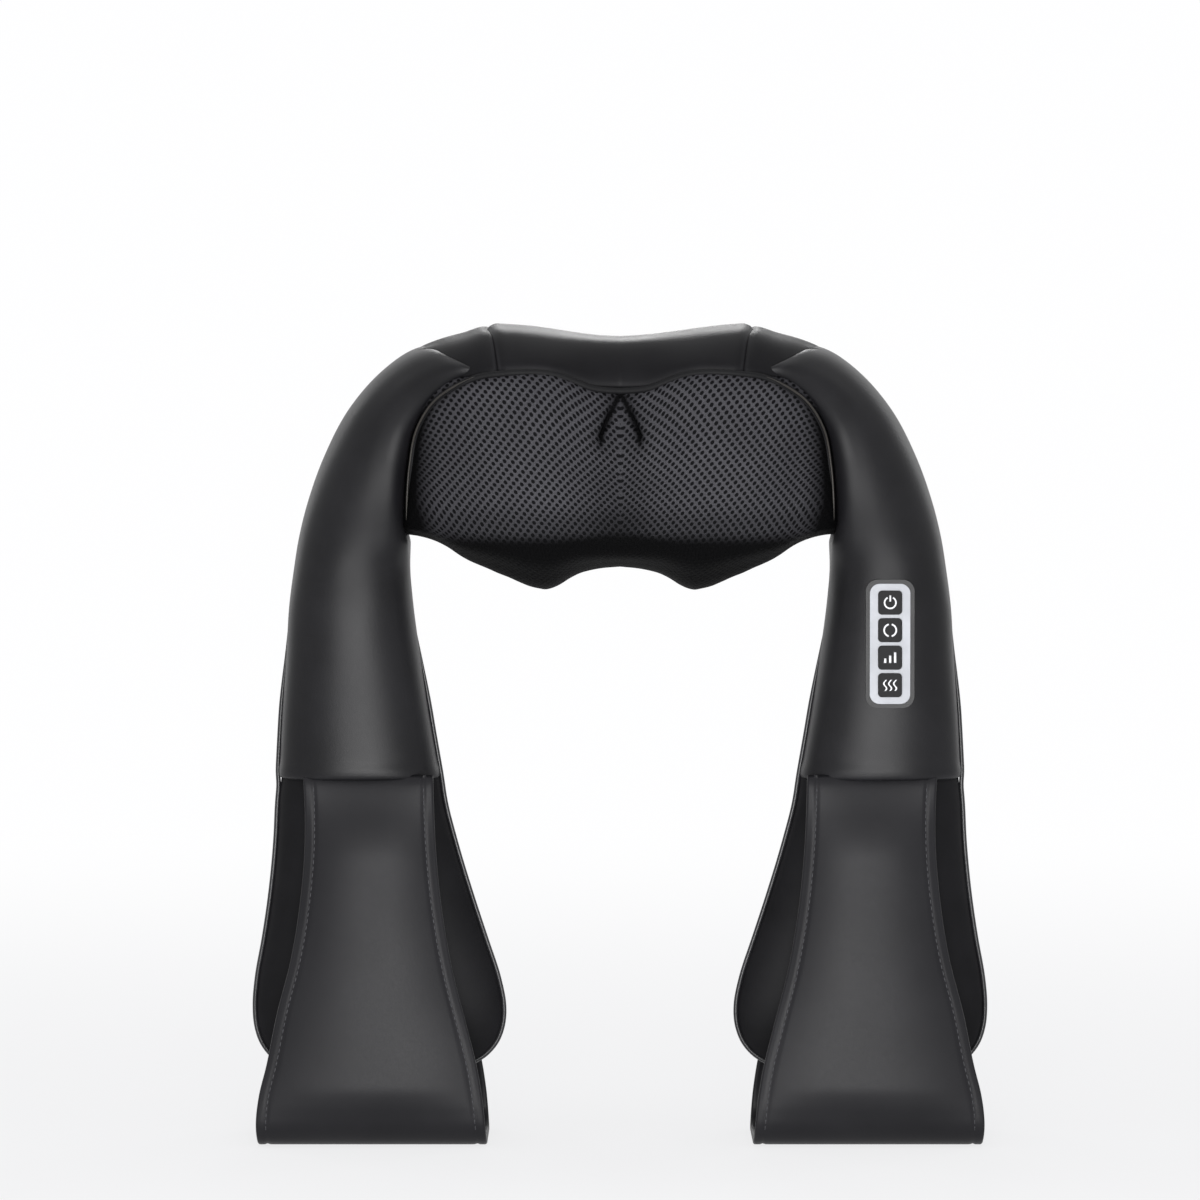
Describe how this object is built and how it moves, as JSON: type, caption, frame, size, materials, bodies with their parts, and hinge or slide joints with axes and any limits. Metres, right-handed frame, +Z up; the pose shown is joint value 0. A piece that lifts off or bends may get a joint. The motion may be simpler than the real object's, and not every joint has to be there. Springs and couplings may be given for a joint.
{
  "type": "shiatsu neck massager",
  "caption": "Neck massager with geared kneading rotors under a mesh cover, padded leather arms, a button panel and hand loops.",
  "frame": {"origin": "on the floor, midway between the two hand loops and midway front to back", "axes": "+X towards the arm with the control panel, -Y towards the mesh side that faces the neck, +Z up"},
  "size_m": [0.4052, 0.1502, 0.4483],
  "materials": {
    "leather": "satin",
    "mesh": "matte",
    "webbing": "satin",
    "piping": "satin",
    "welt": "matte",
    "foam": "matte",
    "case_plastic": "matte",
    "gear_plastic": "satin",
    "head_plastic": "satin",
    "steel": "satin",
    "brass": "satin",
    "magnet": "matte",
    "board": "satin",
    "component": "satin",
    "lamp": "gloss",
    "lead": "matte",
    "panel_black": "gloss",
    "panel_silver": "satin",
    "key": "satin"
  },
  "bodies": {
    "massager": {"bridge_cover": "leather", "case_screws": "steel", "crown_foam": "foam", "edge_piping": "piping", "gearbox_base": "case_plastic", "gearbox_cover": "case_plastic", "gearbox_screws": "steel", "heater_board": "board", "heater_lamps": "lamp", "key_board": "board", "key_switches": "component", "left_arm_cover": "leather", "left_arm_foam": "foam", "left_gusset": "leather", "left_hand_strap": "webbing", "left_pad_cover": "leather", "left_pad_foam": "foam", "lower_case": "case_plastic", "main_board": "board", "main_board_components": "component", "main_board_screws": "steel", "mesh_cover": "mesh", "mesh_welt": "welt", "motor_can": "steel", "motor_end_cap": "component", "motor_leads": "lead", "motor_magnets": "magnet", "panel_leads": "lead", "panel_plate": "panel_silver", "panel_tray": "panel_black", "power_inlet": "panel_black", "power_inlet_pin": "brass", "right_arm_cover": "leather", "right_arm_foam": "foam", "right_gusset": "leather", "right_hand_strap": "webbing", "right_pad_cover": "leather", "right_pad_foam": "foam", "shaft_bushes": "brass", "upper_case": "case_plastic"},
    "left_rotor": {"left_worm_wheel": "gear_plastic", "left_output_shaft": "steel", "left_head_carrier": "head_plastic", "left_large_heads": "head_plastic", "left_small_heads": "head_plastic", "left_hub_screw": "steel"},
    "right_rotor": {"right_worm_wheel": "gear_plastic", "right_output_shaft": "steel", "right_head_carrier": "head_plastic", "right_large_heads": "head_plastic", "right_small_heads": "head_plastic", "right_hub_screw": "steel"},
    "worm_rotor": {"worm": "steel", "motor_shaft": "steel", "motor_armature": "steel"},
    "power_button": {"power_button": "key"},
    "direction_button": {"direction_button": "key"},
    "speed_button": {"speed_button": "key"},
    "heat_button": {"heat_button": "key"}
  },
  "joints": [
    {"name": "left_rotor_spin", "type": "hinge", "parent": "massager", "child": "left_rotor", "pos_m": [-0.03783, -0.008, 0.38131], "axis": [0.3907, 0, 0.9205], "continuous": true},
    {"name": "right_rotor_spin", "type": "hinge", "parent": "massager", "child": "right_rotor", "pos_m": [0.03783, -0.008, 0.38131], "axis": [-0.3907, 0, 0.9205], "continuous": true},
    {"name": "worm_spin", "type": "hinge", "parent": "massager", "child": "worm_rotor", "pos_m": [0, -0.008, 0.36525], "axis": [0, 1, 0], "continuous": true},
    {"name": "power_button_press", "type": "slide", "parent": "massager", "child": "power_button", "axis": [0, 1, 0], "range_m": [0, 0.0006], "stiffness_N_per_m": 600, "springref_m": -0.001},
    {"name": "direction_button_press", "type": "slide", "parent": "massager", "child": "direction_button", "axis": [0, 1, 0], "range_m": [0, 0.0006], "stiffness_N_per_m": 600, "springref_m": -0.001},
    {"name": "speed_button_press", "type": "slide", "parent": "massager", "child": "speed_button", "axis": [0, 1, 0], "range_m": [0, 0.0006], "stiffness_N_per_m": 600, "springref_m": -0.001},
    {"name": "heat_button_press", "type": "slide", "parent": "massager", "child": "heat_button", "axis": [0, 1, 0], "range_m": [0, 0.0006], "stiffness_N_per_m": 600, "springref_m": -0.001}
  ],
  "couplings": [
    {"joint": "right_rotor_spin", "follows": "left_rotor_spin", "ratio": -1},
    {"joint": "worm_spin", "follows": "left_rotor_spin", "ratio": -40}
  ]
}
